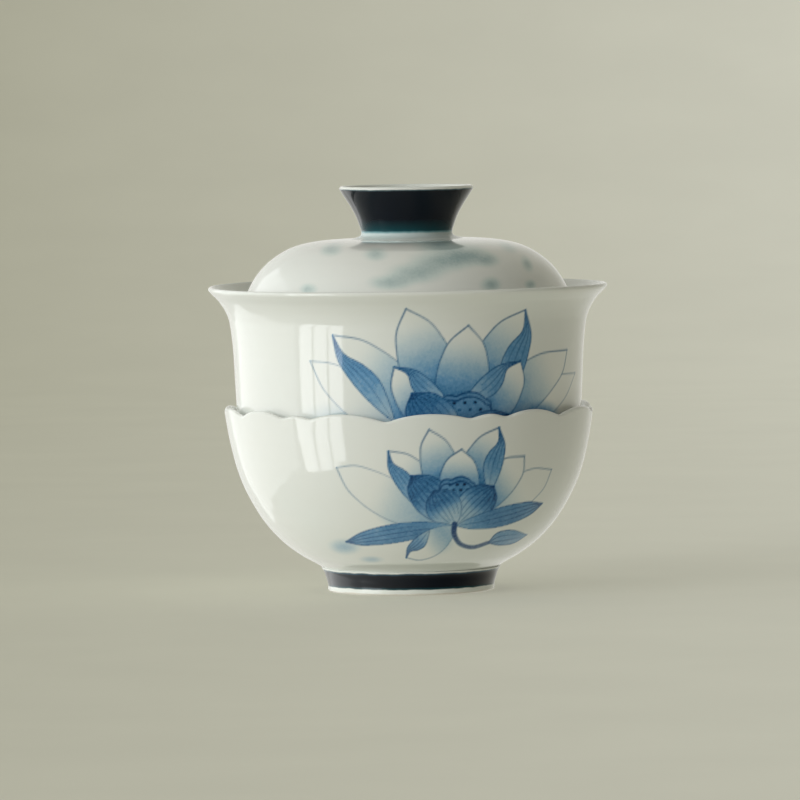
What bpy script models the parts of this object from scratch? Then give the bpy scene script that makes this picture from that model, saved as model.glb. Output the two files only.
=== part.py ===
"""A gaiwan: a domed lid on a flared tea bowl, standing in a petal-rimmed cup.

Three loose porcelain pieces turned about +Z, each with a ring luted to it: the grip on the lid,
and the foot rings under the bowl and the cup. The origin is the centre of the cup's foot, where
it stands. Lengths are in millimetres, and become metres where a mesh is made.
"""

import math

import bpy
from mathutils import Vector

MM = 0.001

# Driving dimensions, in millimetres.
STACK_HEIGHT = 96.5
LUTED = 0.3  # the gap between a body and the ring luted to it
RESTING = 0.3  # the gap where one loose piece rests on another

CUP_FOOT_RADIUS, CUP_FOOT_HEIGHT = 20.7, 5.2
CUP_RIM_RADIUS, CUP_RIM_HEIGHT = 44.3, 42.0  # at a notch: the petals stand above it
CUP_FLOOR, CUP_LIP = 3.1, 1.7  # wall thicknesses

BOWL_FOOT_RADIUS, BOWL_FOOT_HEIGHT = 19.0, 4.6
BOWL_RIM_RADIUS, BOWL_RIM_HEIGHT = 47.6, 72.2
BOWL_FLOOR, BOWL_LIP = 3.2, 1.2

LID_EDGE_RADIUS, LID_EDGE_HEIGHT = 41.1, 66.0
LID_CROWN_HEIGHT = 84.3
LID_CROWN, LID_LIP = 2.4, 1.6

GRIP_LIP_RADIUS, GRIP_WAIST_RADIUS = 16.0, 10.9
GRIP_WALL = 1.5
FOOT_WALL = 3.4

# The petalled rim: two petals meet at each notch, and a bud tip stands between one pair and the next.
PETAL_PAIRS = 6
FRONT_NOTCH = -96.0  # degrees round from +X
PETAL_SPAN, PETAL_RISE = 24.0, 1.8  # degrees from the notch, and millimetres above it
BUD_RISE = 1.0
PETAL_BAND = 16.0  # how far down the wall the petals are felt
FLUTE_DEPTH = 0.3  # how far the wall is drawn in below a notch

TURN_STEPS = 60  # ten to a pair of petals, so that every notch and tip has its own vertex
CURVE_STEPS = 2
LIP_STEPS = 4

PORCELAIN = (0.80, 0.84, 0.81)
INDIGO = (0.010, 0.018, 0.035)


def clear_scene():
    for old in list(bpy.data.objects):
        bpy.data.objects.remove(old)


def glazed(name, colour, roughness):
    made = bpy.data.materials.new(name)
    made.use_nodes = True
    shader = made.node_tree.nodes["Principled BSDF"]
    shader.inputs["Base Color"].default_value = (*colour, 1.0)
    shader.inputs["Roughness"].default_value = roughness
    shader.inputs["Metallic"].default_value = 0.0
    return made


def smooth_through(*points):
    """A Catmull-Rom curve through points given as (radius, height)."""
    knots = [Vector(p) for p in points]
    knots = [2 * knots[0] - knots[1], *knots, 2 * knots[-1] - knots[-2]]
    made = []
    for a, b, c, d in zip(knots, knots[1:], knots[2:], knots[3:]):
        for step in range(CURVE_STEPS):
            t = step / CURVE_STEPS
            bend = (2 * a - 5 * b + 4 * c - d) * t**2 + (3 * b - a - 3 * c + d) * t**3
            made.append((2 * b + (c - a) * t + bend) / 2)
    return [*made, knots[-2]]


def directions(path):
    """The direction of travel at each point of a path, as unit vectors."""
    ends = [path[0], *path, path[-1]]
    return [(after - before).normalized() for before, after in zip(ends, ends[2:])]


def inset(outer, at_bottom, at_top):
    """The outer side, run from top to bottom, moved in by a wall whose thickness runs evenly with height."""
    bottom, top = min(p.y for p in outer), max(p.y for p in outer)
    made = []
    for point, way in zip(outer, directions(outer)):
        share = (point.y - bottom) / (top - bottom)
        wall = at_bottom + (at_top - at_bottom) * share
        made.append(point + Vector((way.y, -way.x)) * wall)
    return made


def half_round(start, end, beyond):
    """Points on the half circle from start to end that bulges towards beyond, without its ends."""
    centre, arm = (start + end) / 2, (start - end) / 2
    turns = [math.pi * i / LIP_STEPS for i in range(1, LIP_STEPS)]
    return [centre + arm * math.cos(t) + beyond * arm.length * math.sin(t) for t in turns]


def cup_section(outer, floor, lip):
    """The section of a hollow that opens upwards, from its outer side, which ends at the axis."""
    inner = inset(outer, floor, lip)
    inner[-1].x = outer[-1].x = 0.0
    return [*reversed(inner), *half_round(inner[0], outer[0], -directions(outer)[0]), *outer]


def lid_section(outer, crown, lip):
    """The section of a hollow that opens downwards, from its outer side, which starts at the axis."""
    inner = inset(outer, lip, crown)
    inner[0].x = outer[0].x = 0.0
    return [*outer, *half_round(outer[-1], inner[-1], directions(outer)[-1]), *reversed(inner)]


def foot_section(radius, bottom, height):
    """The section of a foot ring. It leans in a little as it goes down, and stands on a flat tread."""
    outer = [(radius, bottom + height), (radius - 0.5, bottom + 0.55 * height), (radius - 0.8, bottom + 0.3 * height)]
    tread = [(radius - 0.75, bottom + 0.5), (radius - 1.1, bottom), (radius - FOOT_WALL + 0.4, bottom)]
    recess = [(radius - FOOT_WALL, bottom + 0.5), (radius - FOOT_WALL - 0.6, bottom + height)]
    return [Vector(p) for p in (*outer, *tread, *recess)]


def grip_section(bottom):
    """The section of the flared ring on the lid: a narrow waist below a wide rolled lip."""
    height = STACK_HEIGHT - bottom
    levels = (0.94, 0.78, 0.58, 0.36, 0.18, 0.08, 0.0)
    flare = (1.0, 0.72, 0.42, 0.17, 0.02, 0.0, 0.10)
    reach = GRIP_LIP_RADIUS - GRIP_WAIST_RADIUS
    outer = [
        Vector((GRIP_WAIST_RADIUS + reach * out, bottom + height * up)) for up, out in zip(levels, flare)
    ]
    inner = inset(outer, GRIP_WALL + 0.3, GRIP_WALL - 0.3)
    inner[-1] = outer[-1] - Vector((GRIP_WALL + 0.6, 0.0))
    return [*outer, *reversed(inner), *half_round(inner[0], outer[0], -directions(outer)[0])]


def petal_rise(turn):
    """How far the rim stands above its notches, this many degrees round from the front notch."""
    pitch = 360 / PETAL_PAIRS
    off = abs((turn + pitch / 2) % pitch - pitch / 2)
    if off < PETAL_SPAN:
        return PETAL_RISE * math.sin(math.pi * off / PETAL_SPAN) ** 0.6
    return BUD_RISE * (off - PETAL_SPAN) / (pitch / 2 - PETAL_SPAN)


def new_object(name, material, vertices, edges, faces):
    mesh = bpy.data.meshes.new(name)
    mesh.from_pydata([Vector(v) * MM for v in vertices], edges, faces)
    mesh.materials.append(material)
    made = bpy.data.objects.new(name, mesh)
    bpy.data.collections["gaiwan"].objects.link(made)
    return made


def turned(name, section, material, ring=False):
    """A solid turned from its section, which ends on the axis or, for a ring, closes on itself."""
    count = len(section)
    edges = [(i, (i + 1) % count) for i in range(count if ring else count - 1)]
    made = new_object(name, material, [(p.x, 0.0, p.y) for p in section], edges, [])
    screw = made.modifiers.new("turn", "SCREW")
    screw.steps = screw.render_steps = TURN_STEPS
    screw.use_merge_vertices = True
    screw.merge_threshold = 0.00001
    return made


def petalled(name, section, material):
    """A solid turned from its section, with the wall drawn up into petals at the rim."""
    floor, *side, underside = section
    vertices = []
    for step in range(TURN_STEPS):
        turn = 360 * step / TURN_STEPS
        rise = petal_rise(turn)
        angle = math.radians(FRONT_NOTCH + turn)
        for point in side:
            share = min(max(1 - (CUP_RIM_HEIGHT - point.y) / PETAL_BAND, 0.0), 1.0) ** 2
            radius = point.x - FLUTE_DEPTH * share * (1 - rise / PETAL_RISE)
            vertices.append((radius * math.cos(angle), radius * math.sin(angle), point.y + rise * share))
    count = len(side)
    poles = len(vertices), len(vertices) + 1
    vertices += [(0.0, 0.0, floor.y), (0.0, 0.0, underside.y)]
    faces = []
    for here in range(0, TURN_STEPS * count, count):
        there = (here + count) % (TURN_STEPS * count)
        faces.append((poles[0], here, there))
        faces += [(here + i, here + i + 1, there + i + 1, there + i) for i in range(count - 1)]
        faces.append((here + count - 1, poles[1], there + count - 1))
    made = new_object(name, material, vertices, [], faces)
    made.data.shade_smooth()
    return made


def build_cup():
    """The outer cup with its petalled rim, and the foot ring it stands on."""
    base = CUP_FOOT_HEIGHT + LUTED
    outer = smooth_through(
        (CUP_RIM_RADIUS, CUP_RIM_HEIGHT), (43.0, 36.0), (41.2, 29.2), (38.9, 23.5), (35.2, 17.2),
        (31.0, 12.4), (26.5, 8.9), (22.0, 6.5), (18.5, base), (0.0, base),
    )
    petalled("cup_body", cup_section(outer, CUP_FLOOR, CUP_LIP), glazed("cup_glaze", PORCELAIN, 0.12))
    section = foot_section(CUP_FOOT_RADIUS, 0.0, CUP_FOOT_HEIGHT)
    turned("cup_foot_ring", section, glazed("cup_foot_glaze", INDIGO, 0.16), ring=True)


def build_bowl(parent):
    """The tea bowl, standing on the floor of the cup."""
    stands_at = CUP_FOOT_HEIGHT + LUTED + CUP_FLOOR + RESTING
    base = stands_at + BOWL_FOOT_HEIGHT + LUTED
    outer = smooth_through(
        (BOWL_RIM_RADIUS, BOWL_RIM_HEIGHT), (45.1, 69.6), (43.5, 67.0), (42.6, 64.2), (41.9, 58.0),
        (41.5, 50.0), (41.0, 42.5), (39.4, 34.5), (36.0, 27.0), (29.8, 19.6), (22.0, 15.0),
        (17.0, base), (0.0, base),
    )
    body = turned("bowl_body", cup_section(outer, BOWL_FLOOR, BOWL_LIP), glazed("bowl_glaze", PORCELAIN, 0.12))
    section = foot_section(BOWL_FOOT_RADIUS, stands_at, BOWL_FOOT_HEIGHT)
    foot = turned("bowl_foot_ring", section, glazed("bowl_foot_glaze", PORCELAIN, 0.14), ring=True)
    body.parent = foot.parent = parent


def build_lid(parent):
    """The lid, resting in the flare of the bowl's rim, and the grip on its crown."""
    outer = smooth_through(
        (0.0, LID_CROWN_HEIGHT), (12.0, LID_CROWN_HEIGHT - 0.1), (21.5, 83.7), (27.8, 82.2), (32.4, 79.5),
        (35.6, 76.4), (38.0, 72.6), (39.8, 69.2), (LID_EDGE_RADIUS, LID_EDGE_HEIGHT),
    )
    dome = turned("lid_dome", lid_section(outer, LID_CROWN, LID_LIP), glazed("lid_glaze", PORCELAIN, 0.12))
    section = grip_section(LID_CROWN_HEIGHT + LUTED)
    grip = turned("lid_grip", section, glazed("grip_glaze", INDIGO, 0.16), ring=True)
    dome.parent = grip.parent = parent


def lifting(name):
    """An empty on the axis that a loose piece is lifted by."""
    made = bpy.data.objects.new(name, None)
    made.empty_display_size = 20 * MM
    bpy.data.collections["gaiwan"].objects.link(made)
    return made


def main():
    clear_scene()
    bpy.context.scene.collection.children.link(bpy.data.collections.new("gaiwan"))
    build_cup()
    bowl = lifting("bowl")
    lid = lifting("lid")
    lid.parent = bowl
    build_bowl(bowl)
    build_lid(lid)


main()
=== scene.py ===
"""The looks of the gaiwan: thrown porcelain, clear glaze and blue brushwork, in plain studio light.

Shapes are given in millimetres. Each porcelain piece is revolved from its section, in columns that
lie close together where it is painted. A Brush paints generic lotus flowers onto those vertices in
two layers, the depth of the cobalt wash and that of the inked lines, which the glaze materials turn
into colour.
"""

import math

import bpy
import numpy as np
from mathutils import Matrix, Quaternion, Vector


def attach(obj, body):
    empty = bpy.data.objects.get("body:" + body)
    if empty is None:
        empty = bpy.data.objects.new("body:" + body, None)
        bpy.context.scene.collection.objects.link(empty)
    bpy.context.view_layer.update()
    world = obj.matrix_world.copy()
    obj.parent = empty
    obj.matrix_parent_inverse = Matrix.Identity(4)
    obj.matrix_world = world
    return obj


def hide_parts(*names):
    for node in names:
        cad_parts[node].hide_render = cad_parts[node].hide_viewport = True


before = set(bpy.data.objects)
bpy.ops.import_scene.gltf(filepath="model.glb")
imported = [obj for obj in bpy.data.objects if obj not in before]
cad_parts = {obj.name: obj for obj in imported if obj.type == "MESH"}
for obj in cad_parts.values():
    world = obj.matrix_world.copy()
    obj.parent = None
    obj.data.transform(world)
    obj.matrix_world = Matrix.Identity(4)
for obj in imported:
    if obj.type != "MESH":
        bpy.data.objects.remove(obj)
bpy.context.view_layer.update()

MM = 0.001

# Heights and radii that part.py gives the same pieces, in millimetres.
CUP_BASE = 5.5
BOWL_STANDS_AT = 8.9
BOWL_BASE = 13.8
LID_CROWN = 84.3

# The vertices of the painted walls. Angles are in degrees from the front, to the right.
PAINTED_FROM, PAINTED_TO = -50.0, 84.0  # what the main flower covers
SPRIG_FROM = 146.0  # the flower on the back covers what is further round than this, on either side
WALL_RADIUS = 42.0  # where the column spacings are measured
PAINT_STEP, PLAIN_STEP = 0.30, 1.0  # column spacing in the main flower and between the flowers
ROW_STEP = 0.33
COLUMN_EASE = 8.0  # over this far the spacing changes
BACK_SHARE = 0.6  # how much of the main flower's extra columns the one on the back gets
INSIDE_EVERY = 3  # the plain inside has one column for this many outside


# ---------------------------------------------------------------- curves and sections


def evenly(path, spacing):
    """The path with its points moved to an even spacing."""
    along = np.concatenate([[0.0], np.cumsum(np.linalg.norm(np.diff(path, axis=0), axis=1))])
    where = np.linspace(0.0, along[-1], max(2, round(along[-1] / spacing) + 1))
    return np.column_stack([np.interp(where, along, path[:, k]) for k in (0, 1)])


def curve(points, spacing):
    """An even Catmull-Rom curve through the points."""
    knots = np.array(points, float)
    knots = np.vstack([2 * knots[0] - knots[1], knots, 2 * knots[-1] - knots[-2]])
    t = np.linspace(0.0, 1.0, 16, endpoint=False)[:, None]
    spans = []
    for a, b, c, d in zip(knots, knots[1:], knots[2:], knots[3:]):
        bend = (2 * a - 5 * b + 4 * c - d) * t**2 + (3 * b - a - 3 * c + d) * t**3
        spans.append((2 * b + (c - a) * t + bend) / 2)
    return evenly(np.vstack([*spans, knots[-2:-1]]), spacing)


def part_of(path, share, count):
    """This many points along the first share of a path."""
    where = np.linspace(0.0, (len(path) - 1) * share, count)
    return np.column_stack([np.interp(where, np.arange(len(path)), path[:, k]) for k in (0, 1)])


def directions(path):
    """The unit direction of travel at each point of a path."""
    steps = np.gradient(path, axis=0)
    return steps / np.linalg.norm(steps, axis=1)[:, None]


def inset(outer, at_bottom, at_top):
    """The outer side, run from top to bottom, moved in by a wall that thins evenly with height."""
    way = directions(outer)
    low, high = outer[:, 1].min(), outer[:, 1].max()
    wall = at_bottom + (at_top - at_bottom) * (outer[:, 1] - low) / (high - low)
    return outer + np.column_stack([way[:, 1], -way[:, 0]]) * wall[:, None]


def half_round(start, end, beyond, steps=7):
    """Points on the half circle from start to end that bulges towards beyond, without its ends."""
    centre, arm = (start + end) / 2, (start - end) / 2
    t = np.linspace(0.0, math.pi, steps + 2)[1:-1, None]
    return centre + arm * np.cos(t) + beyond * np.linalg.norm(arm) * np.sin(t)


# ---------------------------------------------------------------- turned meshes


def columns(fine, plain, count_every):
    """Angles from the front, to the right, close together in the main flower and fairly so at the back.

    fine and plain are the spacings in degrees, and their number is a multiple of count_every.
    """
    grid = 0.1
    degrees = np.linspace(-180.0, 180.0, round(360 / grid) + 1)
    into_main = np.minimum(degrees - PAINTED_FROM, PAINTED_TO - degrees)
    main = np.clip((into_main + COLUMN_EASE) / (2 * COLUMN_EASE), 0.0, 1.0)
    behind = BACK_SHARE * np.clip((np.abs(degrees) - SPRIG_FROM) / COLUMN_EASE, 0.0, 1.0)
    per_degree = (1 - main) / plain + main / fine
    per_degree += behind * (1 / fine - 1 / plain)
    steps = (per_degree[1:] + per_degree[:-1]) * (grid / 2)
    reached = np.concatenate([[0.0], np.cumsum(steps)])
    count = int(round(reached[-1] / count_every)) * count_every
    return np.radians(np.interp(np.arange(count) * reached[-1] / count, reached, degrees))


def rows_joined(upper, lower):
    """Faces between two rows of vertices, of which one may have fewer columns, or be one point."""
    many, few = max(len(upper), len(lower)), min(len(upper), len(lower))
    if few == 1:
        pole, rim = (upper, lower) if len(upper) == 1 else (lower, upper)
        after = np.roll(rim, -1)
        pair = (rim, after) if rim is lower else (after, rim)
        return np.column_stack([np.repeat(pole, many), *pair])
    step = many // few
    starts = np.arange(few) * step
    if len(upper) == few:
        top = [np.roll(upper, -1), upper]
    else:
        top = [np.roll(upper, -k)[starts] for k in range(step, -1, -1)]
    if len(lower) == few:
        bottom = [lower, np.roll(lower, -1)]
    else:
        bottom = [np.roll(lower, -k)[starts] for k in range(step + 1)]
    return np.column_stack([*top, *bottom])


def mesh_object(name, points, blocks):
    """A smooth mesh object from points in metres and blocks of faces, alike in corners within a block."""
    sizes = np.concatenate([np.full(len(block), block.shape[1]) for block in blocks])
    corners = np.concatenate([block.ravel() for block in blocks])
    mesh = bpy.data.meshes.new(name)
    mesh.vertices.add(len(points))
    mesh.vertices.foreach_set("co", points.ravel())
    mesh.loops.add(len(corners))
    mesh.loops.foreach_set("vertex_index", corners)
    mesh.polygons.add(len(sizes))
    mesh.polygons.foreach_set("loop_start", np.concatenate([[0], np.cumsum(sizes)[:-1]]))
    mesh.update(calc_edges=True)
    mesh.shade_smooth()
    made = bpy.data.objects.new(name, mesh)
    bpy.context.scene.collection.objects.link(made)
    return made


def revolve(name, section, turns, every=None, ring=False, shaped=None):
    """A closed mesh turned from its section, and each vertex's angle, radius, height and row.

    every says, row by row, that one in so many columns is used. A ring's last row joins its first.
    shaped moves the radii and heights of a row.
    """
    every = np.ones(len(section), int) if every is None else every
    rows, parts, total = [], [], 0
    for index, ((radius, height), skip) in enumerate(zip(section, every)):
        angle = turns[:1] * 0 if radius < 1e-6 else turns[::skip]
        r, z = np.full(len(angle), radius), np.full(len(angle), height)
        if shaped and radius > 1e-6:
            r, z = shaped(angle, r, z)
        rows.append(np.arange(total, total + len(angle)))
        parts.append(np.column_stack([angle, r, z, np.full(len(angle), index)]))
        total += len(angle)
    after = rows[1:] + rows[:1] if ring else rows[1:]
    angle, r, z, row = np.vstack(parts).T
    points = np.column_stack([r * np.sin(angle), -r * np.cos(angle), z]) * MM
    made = mesh_object(name, points, [rows_joined(upper, lower) for upper, lower in zip(rows, after)])
    return made, angle, r, z, row


def plain_inside(section, inside_rows):
    """One in how many columns each row uses: fewer are used inside, which comes first and is plain."""
    every = np.ones(len(section), int)
    every[:inside_rows] = INSIDE_EVERY
    return every


# ---------------------------------------------------------------- the brush


VEIN_POINTS = 24


class Brush:
    """Paints the vertices of one outer wall, with a layer of wash and a layer of ink.

    Places are in millimetres as seen from straight in front (or from straight across, for a brush
    turned to another side): x to the right of the axis, z up from the table.
    """

    def __init__(self, angle, radius, height, outside, profile, facing=0.0):
        # the soft edge of a line, which is wider at the back, where the columns lie further apart
        self.soft = 0.18 if facing == 0.0 else 0.32
        rising = profile[np.argsort(profile[:, 1])]
        self.heights, self.radii = rising[:, 1], rising[:, 0]
        turned = (angle - math.radians(facing) + math.pi) % (2 * math.pi) - math.pi
        self.chosen = np.flatnonzero(outside & (np.abs(turned) < 1.55))
        self.places = np.column_stack([turned * radius, height])[self.chosen]
        self.depth = np.zeros(len(self.chosen))
        self.ink = np.zeros(len(self.chosen))

    def flat(self, points, spacing=0.35):
        """A curve through places seen from the front, unrolled onto the wall."""
        seen = curve(points, spacing)
        radius = np.interp(seen[:, 1], self.heights, self.radii)
        round_wall = radius * np.arcsin(np.clip(seen[:, 0] / radius, -0.99, 0.99))
        return np.column_stack([round_wall, seen[:, 1]])

    def near(self, path, margin):
        """The vertices in the box round a flat path, widened by a margin."""
        low, high = path.min(0) - margin, path.max(0) + margin
        return np.flatnonzero(((self.places > low) & (self.places < high)).all(1))

    def lay(self, here, amount):
        """Adds pigment, which deepens what is there but never past full strength."""
        self.depth[here] = 1 - (1 - self.depth[here]) * (1 - np.clip(amount, 0.0, 0.97))

    def stroke(self, path, width, depth, press):
        """A brush line along a flat path. press gives its weight at the start, middle and end."""
        here = self.near(path, width + self.soft)
        if not len(here):
            return
        start, step = path[:-1], np.diff(path, axis=0)
        along = np.arange(len(start)) / len(start)
        to = self.places[here][:, None] - start[None]
        share = np.clip((to * step).sum(2) / (step**2).sum(1), 0.0, 1.0)
        gaps = np.linalg.norm(to - share[..., None] * step, axis=2)
        nearest = gaps.argmin(1)
        gap = gaps[np.arange(len(here)), nearest]
        t = along[nearest] + share[np.arange(len(here)), nearest] / len(start)
        weight = np.interp(t, (0.0, 0.5, 1.0), press)
        half = 0.6 * width * (0.25 + 0.9 * weight) / 2
        cover = np.clip((half + self.soft - gap) / (1.85 * self.soft), 0.0, 1.0)
        laid = cover * (1 - (1 - depth) ** 1.7) * (0.5 + 0.5 * weight)
        self.lay(here, 0.35 * laid)
        self.ink[here] = np.maximum(self.ink[here], laid)

    def line(self, points, width, depth, press):
        """A brush line through places seen from the front."""
        self.stroke(self.flat(points), width, depth, press)

    def inside(self, outline):
        """The vertices inside a closed flat outline."""
        here = self.near(outline, 0.0)
        x, z = self.places[here].T
        odd = np.zeros(len(here), bool)
        for (x0, z0), (x1, z1) in zip(outline, np.roll(outline, -1, axis=0)):
            crosses = (z0 > z) != (z1 > z)
            odd ^= crosses & (x < x0 + (z - z0) * (x1 - x0) / (z1 - z0 + 1e-12))
        return here[odd]

    def wash(self, outline, depth, start, end, cleared=1.0, settle=0.6):
        """Clears a region and floods it with pigment that fades from the start place to the end place.

        settle is the share of the depth at the very start, where a pool of pigment has run away.
        """
        here = self.inside(outline)
        self.depth[here] *= 1 - cleared
        self.ink[here] *= 1 - cleared
        way = np.subtract(end, start)
        t = ((self.places[here] - start) @ way) / (way @ way)
        fade = np.clip((1 - t) / 0.72, 0.0, 1.0)
        settled = settle + (1 - settle) * np.clip(t / 0.35, 0.0, 1.0)
        self.lay(here, depth * fade * fade * (3 - 2 * fade) * settled)

    def veins(self, left, right, count, reach, depth, width=0.26):
        """Fine lines that part from a shared tip, between its left and right sides."""
        sides = [part_of(side, reach, VEIN_POINTS) for side in (left, right)]
        for index in range(1, count + 1):
            share = index / (count + 1)
            length = int(VEIN_POINTS * (1 - 0.35 * abs(2 * share - 1) - 0.12 * (index % 2)))
            path = (sides[0] * (1 - share) + sides[1] * share)[:length]
            self.stroke(path, width, depth, (1.0, 0.7, 0.15))

    def petal(self, left, right, lines, foot=0.0, rise=0.5, tip=0.0, fall=0.6, veins=0, width=0.45):
        """A petal between two sides, each run from its tip down.

        foot is the depth of pigment at its foot, which fades over the share rise of its length, and
        tip is the depth at its tip, which fades over the share fall. lines are the depths of its sides.
        """
        left, right = self.flat(left), self.flat(right)
        outline = np.vstack([left, right[::-1]])
        top, low = (left[0] + right[0]) / 2, (left[-1] + right[-1]) / 2
        self.wash(outline, 0.9 * foot, low, low + (top - low) * rise)
        if tip:
            self.wash(outline, 0.86 * tip, top, top + (low - top) * fall, cleared=0.0, settle=1.0)
        if veins:
            self.veins(left, right, veins, min(fall * 1.1, 1.0), depth=0.42 + 0.38 * tip)
        for side, depth in zip((left, right), lines):
            self.stroke(side, width, depth, (1.0, 0.5, 0.3))

    def leaf(self, left, right, depth, veins, fade, width=0.32):
        """A turned-over blue edge between two sides that meet at both ends, streaked along it."""
        left, right = self.flat(left), self.flat(right)
        top, low = (left[0] + right[0]) / 2, (left[-1] + right[-1]) / 2
        outline = np.vstack([left, right[::-1]])
        self.wash(outline, 0.84 * depth, top, top + (low - top) * fade, settle=0.9)
        self.veins(left, right, veins, 0.95, depth=0.62)
        for side in (left, right):
            self.stroke(side, width, 0.7, (1.0, 0.8, 0.5))

    def around(self, place, size):
        """Where a place seen from the front lies on the unrolled wall, and the vertices this near it."""
        middle = self.flat([place, (place[0] + 0.01, place[1])])[0]
        return middle, self.near(np.array([middle - size, middle + size]), 0.0)

    def pool(self, place, size, depth):
        """A soft oval of thin pigment."""
        middle, here = self.around(place, size)
        off = np.linalg.norm((self.places[here] - middle) / size, axis=1)
        fade = np.clip(1 - off, 0.0, 1.0)
        self.lay(here, depth * fade * fade * (3 - 2 * fade))

    def dot(self, place, size=0.5, depth=0.9):
        """A crisp dark dot."""
        middle, here = self.around(place, size)
        off = np.linalg.norm((self.places[here] - middle) * (0.8, 1.0), axis=1)
        self.lay(here, depth * np.clip((size - off) / 0.3, 0.0, 1.0))

    def pod(self, outline, scallops, dots, depth=0.62):
        """A seed pod: a flooded disc with a double scalloped edge and dark seeds."""
        edge = self.flat(outline)
        self.wash(edge, depth, edge.min(0), edge.max(0) + 12.0, settle=1.0)
        for shift in (0.0, -1.1):
            self.stroke(self.flat([(x, z + shift) for x, z in scallops]), 0.5, 0.9, (0.8, 1.0, 0.7))
        for place in dots:
            self.dot(place)


# ---------------------------------------------------------------- the painted flowers

# How the petals of a lotus are laid in: tall ones behind, pale ones outside, striped ones in front, and
# trailing ones below.
TALL = {"foot": 0.95, "rise": 0.95, "lines": (0.6, 0.45)}
LIGHT = {"foot": 0.75, "rise": 0.85, "lines": (0.5, 0.42)}
PALE = {"foot": 0.35, "rise": 0.7, "lines": (0.36, 0.3), "width": 0.36}
STRIPED = {"foot": 0.3, "rise": 0.5, "tip": 0.84, "fall": 0.9, "veins": 6, "lines": (0.75, 0.65)}
TRAILING = {"foot": 0.5, "rise": 0.9, "tip": 0.6, "fall": 1.2, "veins": 3, "lines": (0.6, 0.6)}


def petal_sides(foot, lean, length, breadth, sway=0.0):
    """The left side, middle and right side of a pointed petal, each from its tip to its foot.

    lean is in degrees to the right of upright, and sway moves the tip sideways.
    """
    t = np.linspace(0.0, 1.0, 9)[:, None]
    way = np.array((math.sin(math.radians(lean)), math.cos(math.radians(lean))))
    across = np.array((way[1], -way[0]))
    middle = foot + way * length * (1 - t) + across * sway * (1 - t) ** 2
    half = breadth / 2 * np.clip(np.sin(math.pi * t**0.87), 0.0, 1.0) ** 0.7
    return middle - across * half, middle, middle + across * half


def lay_petal(brush, foot, shape, look, folded=0):
    """One petal. folded is 1 or -1 where its right or left edge is turned over below the tip."""
    left, middle, right = petal_sides(foot, *shape)
    brush.petal(left, right, **look)
    if folded:
        edge = (right if folded > 0 else left)[:6]
        inward = 0.95 * np.sin(np.linspace(0.0, math.pi, 6))[:, None]
        brush.leaf(edge, edge + (middle[:6] - edge) * inward, depth=0.64, veins=3, fade=1.4)


def seed_pod(brush, middle, half, rise):
    """A seed pod with a scalloped top and two rows of seeds."""
    x, z = middle
    t = np.linspace(0.0, math.pi, 21)
    arch = np.clip(np.sin(t), 0.0, 1.0) ** 0.6
    lobes = 0.2 * np.abs(np.sin(2.5 * t))
    top = np.column_stack([x - half * np.cos(t), z + rise * (arch + lobes)])
    low = [(x + 0.8 * half, z - 0.6 * rise), (x - 0.8 * half, z - 0.6 * rise)]
    rows = ((0.2, (-0.6, -0.2, 0.2, 0.6)), (0.6, (-0.4, 0.0, 0.4)))
    seeds = [(x + half * across, z + rise * up) for up, places in rows for across in places]
    brush.pod([*top, *low], top, seeds)


def paint_bowl(brush):
    """A wide lotus that rises from behind the cup's rim, its outer petals first."""
    foot = np.array((11.0, 35.0))
    brush.pool((-15.0, 41.5), (14.0, 7.5), 0.16)
    lay_petal(brush, foot, (-66.0, 40.0, 10.0, 6.0), PALE)
    lay_petal(brush, foot, (66.0, 33.0, 9.0, -4.0), PALE)
    lay_petal(brush, foot, (-43.0, 40.0, 11.5, -2.0), LIGHT, -1)
    lay_petal(brush, foot, (46.0, 35.0, 11.0, 2.0), LIGHT)
    lay_petal(brush, foot, (-17.0, 36.0, 13.0, -1.0), TALL)
    lay_petal(brush, foot, (25.0, 37.0, 12.5, 1.0), TALL, 1)
    lay_petal(brush, foot, (4.0, 30.0, 12.5, 1.0), TALL)
    lay_petal(brush, foot, (-33.0, 25.0, 10.5, -1.0), TALL, 1)
    lay_petal(brush, foot, (34.0, 26.0, 11.0, 1.0), TALL, -1)
    brush.pool((31.0, 42.5), (9.0, 4.6), 0.8)
    seed_pod(brush, (13.0, 44.2), 6.2, 4.2)
    # the lower ones, which show when the bowl is out of the cup
    lay_petal(brush, foot, (-76.0, 22.0, 6.0, 1.0), TRAILING)
    lay_petal(brush, foot, (75.0, 21.0, 6.0, -1.0), TRAILING)
    lay_petal(brush, foot, (52.0, 15.0, 9.0, 1.0), STRIPED)
    lay_petal(brush, foot, (-33.0, 17.5, 11.0, -1.0), STRIPED)


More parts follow.
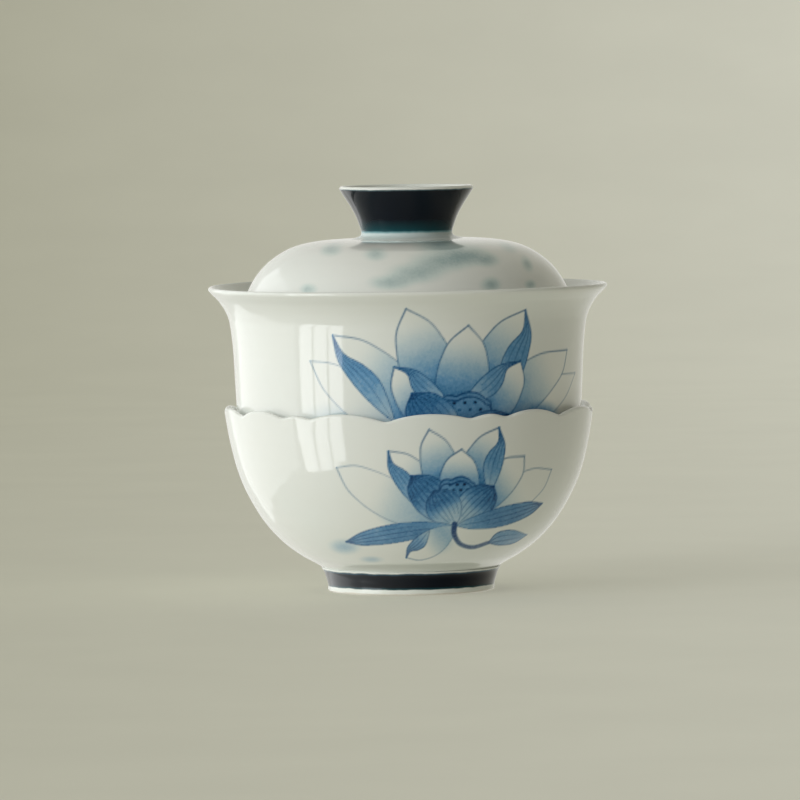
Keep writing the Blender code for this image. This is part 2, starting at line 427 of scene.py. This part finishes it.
def paint_cup(brush):
    """An open lotus on a curved stem, with trailing lower petals, the ones behind first."""
    foot = np.array((10.5, 17.5))
    brush.pool((22.0, 22.5), (7.5, 5.0), 0.45)
    brush.pool((0.0, 20.6), (9.0, 4.6), 0.5)
    brush.pool((5.7, 14.0), (6.0, 4.6), 0.3)
    lay_petal(brush, foot, (-70.0, 31.0, 9.5, 4.0), PALE)
    lay_petal(brush, foot, (66.0, 26.0, 8.5, -2.0), PALE)
    lay_petal(brush, foot, (-38.0, 24.0, 8.5, -1.0), LIGHT, -1)
    lay_petal(brush, foot, (43.0, 23.0, 8.5, 1.0), LIGHT)
    lay_petal(brush, foot, (-12.0, 24.0, 9.0, -1.0), TALL)
    lay_petal(brush, foot, (22.0, 25.5, 9.5, 1.0), TALL, 1)
    lay_petal(brush, foot, (5.0, 18.5, 9.5), TALL)
    lay_petal(brush, foot, (-36.0, 16.0, 9.0, -1.0), STRIPED)
    seed_pod(brush, (11.0, 25.6), 4.2, 3.2)
    lay_petal(brush, foot, (40.0, 13.0, 8.0, 1.0), STRIPED)
    lay_petal(brush, foot, (-30.0, 10.0, 8.4), STRIPED)
    lay_petal(brush, foot, (-94.0, 26.0, 4.6, -2.0), TRAILING)
    lay_petal(brush, foot, (84.0, 21.0, 4.6, -2.0), TRAILING)
    lay_petal(brush, foot, (-128.0, 14.0, 6.5, 1.0), PALE, 1)
    stem = [(10.3, 17.9), (10.2, 15.4), (11.6, 12.9), (14.6, 11.9), (18.4, 12.9)]
    brush.line(stem, 1.9, 0.92, (1.0, 0.7, 0.6))
    brush.leaf(
        [(18.2, 12.8), (20.4, 15.2), (24.0, 15.6), (27.6, 14.0)],
        [(18.2, 12.8), (21.0, 12.0), (24.4, 12.2), (27.6, 14.0)],
        depth=0.62, veins=2, fade=3.0,
    )
    brush.pool((-15.8, 12.4), (5.6, 2.6), 0.27)
    brush.pool((-9.4, 9.2), (4.0, 1.2), 0.2)


BUD_LEAVES = {"foot": 0.4, "rise": 0.6, "tip": 0.6, "fall": 0.6, "lines": (0.6, 0.6), "width": 0.8}


def paint_sprig(brush):
    """A small bud and leaf on the back of the cup."""
    brush.pool((-7.0, 17.0), (8.0, 3.0), 0.4)
    brush.petal(
        [(2.0, 34.0), (-2.6, 29.0), (-3.4, 24.0), (0.5, 18.0)],
        [(2.2, 33.8), (6.0, 29.0), (5.6, 23.5), (0.5, 18.0)],
        foot=0.6, rise=0.7, tip=0.3, lines=(0.6, 0.6), width=0.8,
    )
    brush.petal(
        [(-5.0, 29.0), (-7.0, 25.0), (-4.6, 20.5), (0.4, 17.6)],
        [(-4.6, 29.0), (-2.0, 25.6), (-1.4, 21.5), (0.4, 17.6)],
        **BUD_LEAVES,
    )
    brush.petal(
        [(9.0, 28.6), (5.4, 25.6), (3.2, 21.5), (0.8, 17.6)],
        [(9.2, 28.4), (8.6, 24.0), (6.0, 20.0), (0.8, 17.6)],
        **BUD_LEAVES,
    )
    brush.line([(0.6, 17.6), (1.4, 14.0), (4.2, 11.6), (9.0, 10.8)], 1.1, 0.8, (1.0, 0.7, 0.9))
    brush.leaf(
        [(9.0, 16.4), (13.0, 17.4), (17.5, 16.4), (21.0, 13.6)],
        [(9.0, 16.4), (12.0, 13.6), (16.6, 12.4), (21.0, 13.6)],
        depth=0.55, veins=2, fade=3.0,
    )


def paint_bowl_back(brush):
    """Loose petals that rise from behind the cup's rim."""
    brush.petal(
        [(-2.0, 62.0), (-7.6, 56.0), (-8.4, 50.0), (-0.5, 37.0)],
        [(-1.8, 61.8), (4.0, 56.4), (4.6, 50.0), (-0.5, 37.0)],
        foot=0.8, rise=0.8, lines=(0.6, 0.5), width=0.8,
    )
    brush.petal(
        [(9.0, 57.6), (4.0, 54.0), (2.6, 49.0), (1.0, 36.6)],
        [(9.3, 57.4), (14.0, 52.6), (14.4, 47.0), (1.0, 36.6)],
        foot=0.78, rise=0.85, lines=(0.6, 0.5), width=0.8,
    )
    brush.petal(
        [(-14.0, 56.6), (-16.8, 52.0), (-14.6, 46.0), (-2.0, 36.6)],
        [(-13.6, 56.6), (-8.0, 53.6), (-6.0, 48.0), (-2.0, 36.6)],
        foot=0.72, rise=0.85, lines=(0.6, 0.4), width=0.8,
    )
    brush.petal(
        [(-1.0, 50.0), (-5.4, 46.6), (-6.4, 41.5), (-0.6, 35.4)],
        [(-0.8, 49.8), (4.4, 47.0), (5.6, 41.5), (-0.6, 35.4)],
        tip=0.8, fall=0.95, veins=5, lines=(0.7, 0.7), width=0.8,
    )


# (middle, half sizes, depth) of each wash on the lid
LID_WASHES = (
    ((-4.0, 75.0), (7.0, 2.4), 0.5), ((2.0, 77.0), (9.0, 3.2), 0.5), ((8.0, 79.6), (10.0, 3.6), 0.5),
    ((14.0, 80.8), (9.0, 3.4), 0.62), ((19.0, 79.6), (5.0, 2.2), 0.5), ((8.0, 83.4), (9.0, 2.6), 0.5),
    ((-18.0, 82.6), (5.0, 2.2), 0.5), ((-7.4, 81.4), (4.0, 2.0), 0.42), ((-23.4, 73.4), (3.6, 1.8), 0.4),
    ((19.6, 74.0), (4.0, 2.4), 0.5), ((28.4, 78.4), (3.4, 2.6), 0.5), ((29.0, 73.6), (3.0, 1.6), 0.5),
    ((24.0, 82.4), (5.0, 2.0), 0.4),
)


def paint_lid(brush):
    """Soft washes, with no line in them, over the shoulder of the dome."""
    for place, size, depth in LID_WASHES:
        brush.pool(place, size, depth)


# ---------------------------------------------------------------- materials


def node(tree, kind, links=(), **values):
    """A shader node with its options set, and its inputs given as values or as other nodes' outputs."""
    made = tree.nodes.new(kind)
    for name, value in values.items():
        setattr(made, name, value)
    for name, value in dict(links).items():
        if isinstance(value, bpy.types.NodeSocket):
            tree.links.new(value, made.inputs[name])
        else:
            made.inputs[name].default_value = value
    return made


def ramp(tree, factor, *stops):
    """A colour ramp through (position, colour) stops."""
    made = node(tree, "ShaderNodeValToRGB", {"Fac": factor})
    elements = made.color_ramp.elements
    while len(elements) < len(stops):
        elements.new(0.5)
    for element, (position, colour) in zip(elements, stops):
        element.position = position
        element.color = (*colour, 1.0)
    return made.outputs["Color"]


def calculated(tree, operation, *values, clamp=False):
    """The output of a Math node."""
    made = node(tree, "ShaderNodeMath", enumerate(values), operation=operation, use_clamp=clamp)
    return made.outputs[0]


def mixed(tree, factor, first, second, blend="MIX"):
    """The output of a Mix node that mixes two colours."""
    sockets = {0: factor, 6: first, 7: second}
    return node(tree, "ShaderNodeMix", sockets, data_type="RGBA", blend_type=blend).outputs[2]


def noise(tree, per_mm, detail, stretch=None):
    """Noise with this many cells to a millimetre."""
    place = node(tree, "ShaderNodeTexCoord").outputs["Object"]
    if stretch:
        place = node(tree, "ShaderNodeMapping", {"Vector": place, "Scale": stretch}).outputs[0]
    made = node(tree, "ShaderNodeTexNoise", {"Vector": place, "Scale": per_mm / MM, "Detail": detail})
    return made.outputs["Fac"]


PORCELAIN_WARM = (0.81, 0.82, 0.78)
PORCELAIN_COOL = (0.785, 0.83, 0.805)
COBALT = (
    (0.0, (1.0, 1.0, 1.0)),
    (0.12, (0.73, 0.83, 0.905)),
    (0.30, (0.41, 0.60, 0.785)),
    (0.52, (0.16, 0.38, 0.67)),
    (0.74, (0.046, 0.21, 0.47)),
    (0.88, (0.020, 0.085, 0.22)),
    (1.0, (0.004, 0.022, 0.07)),
)
INK = (0.002, 0.050, 0.175, 1.0)
CELADON = (
    (0.0, (1.0, 1.0, 1.0)),
    (0.25, (0.77, 0.855, 0.86)),
    (0.6, (0.43, 0.56, 0.595)),
    (1.0, (0.22, 0.34, 0.38)),
)


def height_mm(tree):
    """Height above the table, in millimetres."""
    place = node(tree, "ShaderNodeTexCoord").outputs["Object"]
    up = node(tree, "ShaderNodeSeparateXYZ", {"Vector": place}).outputs["Z"]
    return calculated(tree, "MULTIPLY", up, 1 / MM)


def white_body(tree):
    """Porcelain under clear glaze: cool white, a little uneven, with a rare iron speck."""
    base = mixed(tree, noise(tree, 0.035, 2.0), (*PORCELAIN_WARM, 1.0), (*PORCELAIN_COOL, 1.0))
    place = node(tree, "ShaderNodeTexCoord").outputs["Object"]
    cells = node(tree, "ShaderNodeTexVoronoi", {"Vector": place, "Scale": 0.085 / MM})
    speck = ramp(tree, cells.outputs["Distance"], (0.0, (0.45, 0.42, 0.36)), (0.022, (1.0, 1.0, 1.0)))
    return mixed(tree, 1.0, base, speck, "MULTIPLY")


def painted_body(tree, pigment=COBALT):
    """The white body with pigment under the glaze, grainy and a little run at its edges."""
    depth = node(tree, "ShaderNodeAttribute", attribute_name="cobalt").outputs["Fac"]
    grain = calculated(tree, "MULTIPLY_ADD", noise(tree, 1.6, 4.0), 0.5, 0.75)
    cloud = calculated(tree, "MULTIPLY_ADD", noise(tree, 0.32, 2.0), 0.5, 0.75)
    depth = calculated(tree, "MULTIPLY", calculated(tree, "MULTIPLY", depth, grain), cloud, clamp=True)
    washed = mixed(tree, 1.0, white_body(tree), ramp(tree, depth, *pigment), "MULTIPLY")
    ink = node(tree, "ShaderNodeAttribute", attribute_name="ink").outputs["Fac"]
    return mixed(tree, calculated(tree, "MULTIPLY", ink, grain, clamp=True), washed, INK)


def celadon_body(tree):
    """The same with the pale grey-green of washes under thick glaze."""
    return painted_body(tree, CELADON)


def glaze(name, colour_from, roughness=0.07, shine=0.5, coat=0.35):
    """A glossy glaze over the body colour, with the faint ripple and orange peel of a fired surface."""
    made = bpy.data.materials.new(name)
    made.use_nodes = True
    tree = made.node_tree
    shader = tree.nodes["Principled BSDF"]
    tree.links.new(colour_from(tree), shader.inputs["Base Color"])
    spread = calculated(tree, "MULTIPLY_ADD", noise(tree, 0.12, 3.0), 0.10, roughness - 0.04)
    tree.links.new(spread, shader.inputs["Roughness"])
    ripple = calculated(tree, "MULTIPLY_ADD", noise(tree, 0.16, 1.0, (1.0, 1.0, 2.6)), 0.7, 0.0)
    peel = calculated(tree, "MULTIPLY_ADD", noise(tree, 0.9, 2.0), 0.06, ripple)
    bump = node(tree, "ShaderNodeBump", {"Height": peel, "Strength": 0.28, "Distance": 0.12 * MM})
    tree.links.new(bump.outputs[0], shader.inputs["Normal"])
    shader.inputs["IOR"].default_value = 1.5
    shader.inputs["Specular IOR Level"].default_value = shine
    shader.inputs["Coat Weight"].default_value = coat
    shader.inputs["Coat Roughness"].default_value = 0.03
    return made


def banded(*stops):
    """A body colour that changes with height, through (height in mm, colour) stops."""
    low, high = stops[0][0], stops[-1][0]

    def colour(tree):
        wander = calculated(tree, "MULTIPLY_ADD", noise(tree, 0.25, 2.0), 0.5, -0.25)
        up = calculated(tree, "ADD", height_mm(tree), wander)
        share = calculated(tree, "DIVIDE", calculated(tree, "SUBTRACT", up, low), high - low)
        return ramp(tree, share, *(((h - low) / (high - low), c) for h, c in stops))

    return colour


WHITE = (0.80, 0.83, 0.79)
CLAY = (0.74, 0.72, 0.65)
TEAL = (0.006, 0.060, 0.075)
INDIGO = (0.003, 0.006, 0.012)


def paint_onto(made, angle, radius, height, outside, profile, *painters):
    """Paints one outer wall. Each painter comes with the side it faces, in degrees from the front."""
    layers = {"cobalt": np.zeros(len(angle)), "ink": np.zeros(len(angle))}
    for painter, facing in painters:
        brush = Brush(angle, radius, height, outside, profile, facing)
        painter(brush)
        for name, laid in (("cobalt", brush.depth), ("ink", brush.ink)):
            layers[name][brush.chosen] = np.maximum(layers[name][brush.chosen], laid)
    for name, laid in layers.items():
        made.data.attributes.new(name, "FLOAT", "POINT").data.foreach_set("value", laid)


def finished(made, body, cad_node, material):
    """Gives a piece its material and body, and hides the CAD node that it stands in for."""
    made.data.materials.append(material)
    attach(made, body)
    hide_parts(cad_node)


# ---------------------------------------------------------------- the cup

CUP_RIM = 42.4
FOOT_WALL = 3.4

# The rim of the cup, cut by hand: each petal runs from its notch to the next.
# (notch in degrees from the front, depth of that notch, rise of the petal after it)
RIM = (
    (-172, 0.5, 1.8), (-147, 0.2, 1.0), (-136, 0.4, 1.8), (-111, 0.7, 1.6), (-87, 0.2, 1.6),
    (-64.8, 0.3, 1.7), (-43.3, 0.1, 0.9), (-32.2, 0.2, 1.7), (-7.1, 0.8, 1.7), (19.2, 0.2, 1.1),
    (31.8, 0.1, 1.8), (54.4, 0.6, 1.9), (84, 0.8, 0.8), (95, 0.4, 1.7), (119, 0.7, 1.7),
    (143, 0.3, 1.0), (154, 0.3, 1.8),
)
CUP_OUTER = (
    (44.3, CUP_RIM), (43.0, 36.0), (41.2, 29.2), (38.9, 23.5), (35.2, 17.2),
    (31.0, 12.4), (26.5, 8.9), (22.6, 6.7), (20.6, CUP_BASE), (18.5, CUP_BASE),
)


def rim_rise(angle):
    """How far the cut rim stands above its mean notch at these angles."""
    degrees = np.degrees(angle) % 360
    notches, depths, rises = np.array(RIM).T
    order = np.argsort(notches % 360)
    starts, depths, rises = (notches % 360)[order], -depths[order], rises[order]
    index = (np.searchsorted(starts, degrees, side="right") - 1) % len(starts)
    after = (index + 1) % len(starts)
    span = (starts[after] - starts[index]) % 360
    t = ((degrees - starts[index]) % 360) / span
    bud = span < 15
    arch = np.where(bud, 1 - np.abs(2 * t - 1) ** 1.5, np.sin(math.pi * t**0.92) ** 0.8)
    return depths[index] * (1 - t) + depths[after] * t + rises[index] * arch


def build_cup(turns):
    """The cup's wall and floor, with its rim cut into petals, painted front and back."""
    side = curve(CUP_OUTER, ROW_STEP)
    side = np.vstack([side[side[:, 1] > 8.0], evenly(side[side[:, 1] <= 8.0], 1.0)])
    outer = np.vstack([side, evenly(np.array([(18.4, CUP_BASE), (0.0, CUP_BASE)]), 3.0)])
    inner = evenly(inset(curve(CUP_OUTER, 0.8)[:-2], at_bottom=3.1, at_top=1.35), 1.3)
    floor = evenly(np.array([(0.0, inner[-1, 1]), inner[-1]]), 3.0)[:-1]
    lip = half_round(inner[0], outer[0], np.array((0.25, 1.0)))
    section = np.vstack([floor, inner[::-1], lip, outer])
    every = plain_inside(section, len(floor) + len(inner))

    def shaped(angle, r, z):
        share = np.clip(1 - (CUP_RIM - z) / 15.0, 0.0, 1.0) ** 2
        rise = sum(rim_rise(angle + math.radians(turn)) for turn in (-1.5, -0.7, 0.0, 0.7, 1.5)) / 5
        fluted = 0.35 * share * (1 - np.clip(rise, 0.0, 1.7) / 1.7)
        lean = 0.10 * share * np.sin(3 * angle + 0.7)
        thrown = 0.006 * np.sin(z * 1.9 + 0.6 * np.sin(angle)) * (z > 9)
        return r - fluted + lean + thrown, z + rise * share * np.clip((z - 24) / 18, 0.0, 1.0)

    made, angle, radius, height, row = revolve("cup_shell", section, turns, every, shaped=shaped)
    outside = row >= len(section) - len(outer)
    paint_onto(made, angle, radius, height, outside, side, (paint_cup, 0.0), (paint_sprig, 180.0))
    finished(made, "cup", "cup_body", glaze("cup_porcelain", painted_body))


def foot_ring(name, radius, bottom, height):
    """A foot ring with a soft tread, let a little way into the body above it."""
    top = bottom + height + 0.5
    hollow = radius - FOOT_WALL
    outer = [
        (radius + 0.75, top), (radius + 0.05, bottom + 0.86 * height),
        (radius - 0.45, bottom + 0.55 * height), (radius - 0.8, bottom + 0.3 * height),
        (radius - 0.78, bottom + 0.6), (radius - 0.95, bottom + 0.2), (radius - 1.4, bottom),
    ]
    inner = [
        (hollow + 0.6, bottom), (hollow + 0.1, bottom + 0.3), (hollow - 0.3, bottom + 1.6),
        (hollow - 0.7, top - 0.6), (hollow - 0.9, top),
    ]
    outer, inner = curve(outer, 0.22), curve(inner, 0.4)
    top_face = evenly(np.array([inner[-1], outer[0]]), 1.2)[1:-1]
    return revolve(name, np.vstack([outer, inner, top_face]), columns(0.9, 0.9, 1), ring=True)[0]


def build_cup_foot():
    """The dark ring: bare clay on the tread, a white edge, and indigo glaze up to the body."""
    bands = banded(
        (-0.5, CLAY), (0.35, CLAY), (0.6, WHITE), (1.3, WHITE), (1.5, TEAL), (2.0, INDIGO),
        (4.8, INDIGO), (5.2, (0.04, 0.10, 0.15)), (5.45, WHITE), (6.5, WHITE),
    )
    made = foot_ring("cup_foot", 20.7, 0.0, 5.2)
    material = glaze("cup_foot_indigo", bands, roughness=0.16, coat=0.0)
    finished(made, "cup", "cup_foot_ring", material)


# ---------------------------------------------------------------- the bowl

BOWL_OUTER = (
    (47.6, 72.3), (46.7, 71.3), (45.1, 69.6), (43.5, 67.0), (42.6, 64.2), (41.9, 58.0), (41.5, 50.0),
    (41.0, 42.5), (39.4, 34.5), (36.0, 27.0), (29.8, 19.6), (22.0, 15.0), (17.0, BOWL_BASE),
)
PAINTED_HEIGHTS = (34.3, 70.3)  # from the lowest petals to the flare


def build_bowl(turns):
    """The bowl's flared wall and floor, painted front and back."""
    side = curve(BOWL_OUTER, ROW_STEP)
    low, high = PAINTED_HEIGHTS
    flare = evenly(side[side[:, 1] > high], 0.6)
    painted = side[(side[:, 1] <= high) & (side[:, 1] > low)]
    hidden = evenly(side[side[:, 1] <= low], 1.2)
    base = evenly(np.array([(16.0, BOWL_BASE), (0.0, BOWL_BASE)]), 4.0)
    outer = np.vstack([flare, painted, hidden, base])
    inner = evenly(inset(curve(BOWL_OUTER, 0.8), at_bottom=3.0, at_top=1.0), 1.2)
    inner = inner[inner[:, 0] > 17.0]
    floor = evenly(np.array([(0.0, inner[-1, 1]), inner[-1]]), 3.0)[:-1]
    lip = half_round(inner[0], outer[0], np.array((0.55, 0.85)))
    section = np.vstack([floor, inner[::-1], lip, outer])
    every = plain_inside(section, len(floor) + len(inner))

    def shaped(angle, r, z):
        thrown = 0.008 * np.sin(z * 2.3 + 0.5 * np.sin(angle)) * np.clip((z - 52) / 12, 0.0, 1.0)
        sway = 0.12 * np.sin(2 * angle + 0.4) * np.clip((z - 60) / 12, 0.0, 1.0)
        return r + thrown + sway * 0.6, z + sway

    made, angle, radius, height, row = revolve("bowl_shell", section, turns, every, shaped=shaped)
    outside = row >= len(section) - len(outer)
    painters = ((paint_bowl, 0.0), (paint_bowl_back, 180.0))
    paint_onto(made, angle, radius, height, outside, painted, *painters)
    finished(made, "bowl", "bowl_body", glaze("bowl_porcelain", painted_body))


def build_bowl_foot():
    """The white ring, bare clay on the tread."""
    bands = banded((8.0, CLAY), (9.3, CLAY), (9.6, WHITE), (15.0, WHITE))
    made = foot_ring("bowl_foot", 19.0, BOWL_STANDS_AT, 4.6)
    material = glaze("bowl_foot_porcelain", bands)
    finished(made, "bowl", "bowl_foot_ring", material)


# ---------------------------------------------------------------- the lid

LID_OUTER = (
    (0.0, LID_CROWN), (12.0, 84.2), (21.5, 83.7), (27.8, 82.2), (32.4, 79.5),
    (35.6, 76.4), (38.0, 72.6), (39.8, 69.2), (41.1, 66.0),
)
GRIP_OUTER = (
    (16.0, 96.1), (15.1, 94.6), (13.5, 92.1), (12.2, 89.7), (11.3, 87.3), (10.9, 85.9),
    (11.2, 84.9), (12.8, 84.3), (13.8, 84.05),
)
GRIP_INNER = (
    (8.9, 84.05), (8.9, 85.6), (9.3, 87.2), (10.4, 89.7), (11.8, 92.1), (13.4, 94.6), (14.7, 96.2),
)


def build_dome():
    """The shallow dome, with soft washes on two sides."""
    outer = curve(LID_OUTER, 0.35)
    outer[0, 0] = 0.0
    inner = evenly(inset(curve(LID_OUTER, 0.8), at_bottom=1.5, at_top=2.3), 1.2)
    inner[0, 0] = 0.0
    edge = half_round(outer[-1], inner[-1], directions(outer)[-1])
    section = np.vstack([outer, edge, inner[::-1]])
    every = np.ones(len(section), int)
    every[len(outer) + len(edge):] = INSIDE_EVERY
    turns = columns(0.6, 0.9, INSIDE_EVERY)
    made, angle, radius, height, row = revolve("lid_shell", section, turns, every)
    outside = row < len(outer)
    paint_onto(made, angle, radius, height, outside, outer[20:], (paint_lid, 0.0), (paint_lid, 180.0))
    finished(made, "lid", "lid_dome", glaze("lid_porcelain", celadon_body))


def build_grip():
    """The flared ring: a rolled lip, a narrow waist whose grey-teal is partly glaze tint and partly
    painted shade under the flare, and glaze pooled where it meets the dome.
    """
    outer, inner = curve(GRIP_OUTER, 0.3), curve(GRIP_INNER, 0.4)
    lip = half_round(inner[-1], outer[0], np.array((0.15, 1.0)), 9)
    section = np.vstack([outer, inner, lip])
    made, _, _, _, row = revolve("lid_grip_ring", section, columns(1.0, 1.0, 1), ring=True)
    dipped = made.data.attributes.new("dipped", "FLOAT", "POINT")
    dipped.data.foreach_set("value", (row < len(outer)).astype(float))
    # the grey-teal at the waist, from 84.8 to 85.95 mm, is partly glaze tint and partly painted shade
    # under the flare
    bands = banded(
        (84.0, WHITE), (84.8, (0.60, 0.68, 0.67)), (85.6, (0.55, 0.66, 0.66)),
        (85.95, (0.16, 0.34, 0.38)), (86.3, TEAL), (87.3, (0.005, 0.036, 0.046)), (89.0, INDIGO),
        (95.8, INDIGO), (96.1, (0.10, 0.16, 0.18)), (96.35, WHITE), (97.0, WHITE),
    )

    def white_inside(tree):
        in_glaze = node(tree, "ShaderNodeAttribute", attribute_name="dipped").outputs["Fac"]
        return mixed(tree, in_glaze, (*WHITE, 1.0), bands(tree))

    material = glaze("grip_indigo", white_inside, roughness=0.09, shine=0.25, coat=0.0)
    finished(made, "lid", "lid_grip", material)


# ---------------------------------------------------------------- the studio


def paper():
    """Grey paper with a faint mottle, its colour painted paler towards the right and towards the wall to
    stand in for light, and glowing with that painted light.
    """
    made = bpy.data.materials.new("backdrop_paper")
    made.use_nodes = True
    tree = made.node_tree
    shader = tree.nodes["Principled BSDF"]
    place = node(tree, "ShaderNodeTexCoord").outputs["Object"]
    split = node(tree, "ShaderNodeSeparateXYZ", {"Vector": place})
    # painted light: the colour grows paler towards the right and towards the wall behind
    share = calculated(tree, "MULTIPLY_ADD", split.outputs["X"], 2.2, 0.5)
    painted_light_deeper = calculated(tree, "MULTIPLY_ADD", split.outputs["Y"], 0.085, 1.0)
    painted_light_across = ramp(tree, share, (0.0, (0.375, 0.37, 0.29)), (1.0, (0.62, 0.62, 0.545)))
    mottle = ramp(tree, noise(tree, 0.02, 3.0), (0.3, (0.97, 0.97, 0.97)), (0.7, (1.0, 1.0, 1.0)))
    painted_light_colour = mixed(tree, 1.0, mixed(tree, 1.0, painted_light_across, mottle, "MULTIPLY"), painted_light_deeper, "MULTIPLY")
    base = mixed(tree, 1.0, painted_light_colour, (0.80, 0.80, 0.80, 1.0), "MULTIPLY")
    tree.links.new(base, shader.inputs["Base Color"])
    # the paper glows with this painted light, though it is no lamp
    tree.links.new(painted_light_colour, shader.inputs["Emission Color"])
    shader.inputs["Emission Strength"].default_value = 0.53
    shader.inputs["Roughness"].default_value = 0.9
    shader.inputs["Specular IOR Level"].default_value = 0.1
    return made


def build_backdrop():
    """A pale floor that sweeps up into a wall behind."""
    bend = [(math.sin(t), 1.0 - math.cos(t)) for t in np.linspace(0, math.pi / 2, 25)]
    side = [(-4.0, 0.0), *[(0.9 + y, z) for y, z in bend], (1.9, 5.0)]
    half = 5.0
    vertices = [(x, y, z) for y, z in side for x in (-half, half)]
    faces = [(2 * i, 2 * i + 1, 2 * i + 3, 2 * i + 2) for i in range(len(side) - 1)]
    mesh = bpy.data.meshes.new("backdrop")
    mesh.from_pydata(vertices, [], faces)
    mesh.shade_smooth()
    mesh.materials.append(paper())
    made = bpy.data.objects.new("backdrop", mesh)
    made.visible_glossy = False
    bpy.context.scene.collection.objects.link(made)


def area_light(name, place, aim_height, size, power, colour):
    """A rectangular light that faces this height on the axis."""
    data = bpy.data.lights.new(name, "AREA")
    data.shape = "RECTANGLE"
    data.size, data.size_y = size
    data.energy = power
    data.color = colour
    made = bpy.data.objects.new(name, data)
    made.location = place
    made.rotation_mode = "QUATERNION"
    way = np.subtract((0.0, 0.0, aim_height), place)
    made.rotation_quaternion = Vector(way).to_track_quat("-Z", "Y")
    bpy.context.scene.collection.objects.link(made)
    return made


def light_room():
    """The grey of the room: bright towards the window, dark behind the camera."""
    world = bpy.context.scene.world or bpy.data.worlds.new("room")
    bpy.context.scene.world = world
    world.use_nodes = True
    tree = world.node_tree
    place = node(tree, "ShaderNodeTexCoord").outputs["Generated"]
    split = node(tree, "ShaderNodeSeparateXYZ", {"Vector": place})
    across = calculated(tree, "MULTIPLY_ADD", split.outputs["X"], -0.34, 0.44)
    along = calculated(tree, "MULTIPLY_ADD", split.outputs["Y"], 0.34, across)
    share = calculated(tree, "MULTIPLY_ADD", split.outputs["Z"], -0.10, along)
    dark, middle, bright = (0.06, 0.055, 0.045), (0.42, 0.41, 0.35), (0.86, 0.86, 0.82)
    room = ramp(tree, share, (0.10, dark), (0.50, middle), (0.95, bright))
    seen = node(tree, "ShaderNodeLightPath").outputs["Is Camera Ray"]
    shown = mixed(tree, seen, room, (0.52, 0.52, 0.47, 1.0))
    tree.links.new(shown, tree.nodes["Background"].inputs["Color"])
    tree.nodes["Background"].inputs["Strength"].default_value = 1.15


def light_studio():
    """Three window panes on the left and a wide one behind them, a weak fill and a soft front light."""
    daylight = (0.98, 1.0, 1.03)
    for step in (-1, 0, 1):
        place = (-1.36 - 0.15 * step, -0.80 + 0.27 * step, 0.12)
        area_light(f"window_{step + 2}", place, 0.10, (0.27, 1.9), 4.8, daylight)
    area_light("far_window", (-1.45, 0.67, 0.12), 0.10, (2.26, 1.9), 8.2, daylight)
    area_light("fill", (1.6, -1.4, 1.0), 0.05, (1.4, 1.4), 3.6, (1.0, 0.92, 0.80))
    front = area_light("front", (-1.18, -1.41, 0.35), 0.08, (1.0, 1.0), 11.0, (1.0, 1.0, 0.98))
    front.visible_glossy = False
    light_room()
    bpy.context.scene.view_settings.view_transform = "Standard"


# The camera: where it stands, and where it looks in the plane through the axis, in millimetres.
EYE_DISTANCE, EYE_HEIGHT = 1800.0, 140.0
AIM_X, AIM_HEIGHT = -2.15, 45.5
FIELD = 191.4  # millimetres across the view at the axis
ROLL = -0.75  # degrees


def place_camera():
    """A long lens a little above the cup's rim, at the photograph's angle."""
    data = bpy.data.cameras.new("camera")
    data.sensor_width = 36.0
    back = Vector((0.0, -EYE_DISTANCE, EYE_HEIGHT - AIM_HEIGHT))
    data.lens = data.sensor_width * back.length / FIELD
    data.clip_start, data.clip_end = 0.05, 50.0
    made = bpy.data.objects.new("camera", data)
    made.location = Vector((AIM_X, -EYE_DISTANCE, EYE_HEIGHT)) * MM
    made.rotation_mode = "QUATERNION"
    roll = Quaternion((0.0, 0.0, 1.0), math.radians(ROLL))
    made.rotation_quaternion = (-back).to_track_quat("-Z", "Y") @ roll
    bpy.context.scene.collection.objects.link(made)
    bpy.context.scene.camera = made


def main():
    place_camera()
    build_backdrop()
    light_studio()
    fine, plain = math.degrees(PAINT_STEP / WALL_RADIUS), math.degrees(PLAIN_STEP / WALL_RADIUS)
    turns = columns(fine, plain, INSIDE_EVERY)
    build_cup(turns)
    build_cup_foot()
    build_bowl(turns)
    build_bowl_foot()
    build_dome()
    build_grip()


main()
